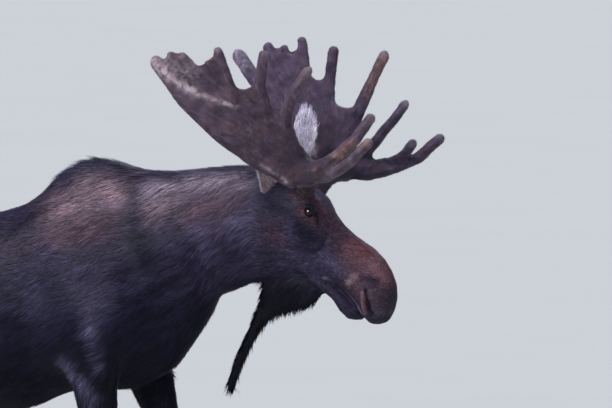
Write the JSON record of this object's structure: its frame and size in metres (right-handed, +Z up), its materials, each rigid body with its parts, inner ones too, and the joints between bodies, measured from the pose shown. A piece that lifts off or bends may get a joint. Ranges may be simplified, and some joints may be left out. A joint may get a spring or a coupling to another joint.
{
  "type": "standing bull moose figure",
  "caption": "Life-size bull moose standing with one foreleg forward, dark summer coat, hanging bell under the throat and broad palmate antlers in velvet.",
  "frame": {"origin": "on the ground under the middle of the part's outline", "axes": "+X the way the moose faces, +Y to its left, +Z up"},
  "size_m": [2.7736, 1.1032, 2.3947],
  "materials": {
    "coat": "short dark brown hair with a soft sheen",
    "bell_hair": "long near-black hair",
    "velvet": "short fuzzy brown-grey velvet",
    "horn": "dull black hoof horn",
    "cornea": "wet, glossy, very dark brown"
  },
  "bodies": {
    "root": {"antler_left_beam": "velvet", "antler_left_brow": "velvet", "antler_left_palm": "velvet", "antler_right_beam": "velvet", "antler_right_brow": "velvet", "antler_right_palm": "velvet", "bell": "bell_hair", "dewclaw_front_left_inner": "horn", "dewclaw_front_left_outer": "horn", "dewclaw_front_right_inner": "horn", "dewclaw_front_right_outer": "horn", "dewclaw_hind_left_inner": "horn", "dewclaw_hind_left_outer": "horn", "dewclaw_hind_right_inner": "horn", "dewclaw_hind_right_outer": "horn", "ear_left": "coat", "ear_right": "coat", "eye_left": "cornea", "eye_right": "cornea", "head": "coat", "hoof_front_left_inner": "horn", "hoof_front_left_outer": "horn", "hoof_front_right_inner": "horn", "hoof_front_right_outer": "horn", "hoof_hind_left_inner": "horn", "hoof_hind_left_outer": "horn", "hoof_hind_right_inner": "horn", "hoof_hind_right_outer": "horn", "leg_front_left_lower": "coat", "leg_front_left_upper": "coat", "leg_front_right_lower": "coat", "leg_front_right_upper": "coat", "leg_hind_left_lower": "coat", "leg_hind_left_upper": "coat", "leg_hind_right_lower": "coat", "leg_hind_right_upper": "coat", "lower_jaw": "coat", "neck": "coat", "tail": "coat", "trunk": "coat"}
  },
  "joints": []
}
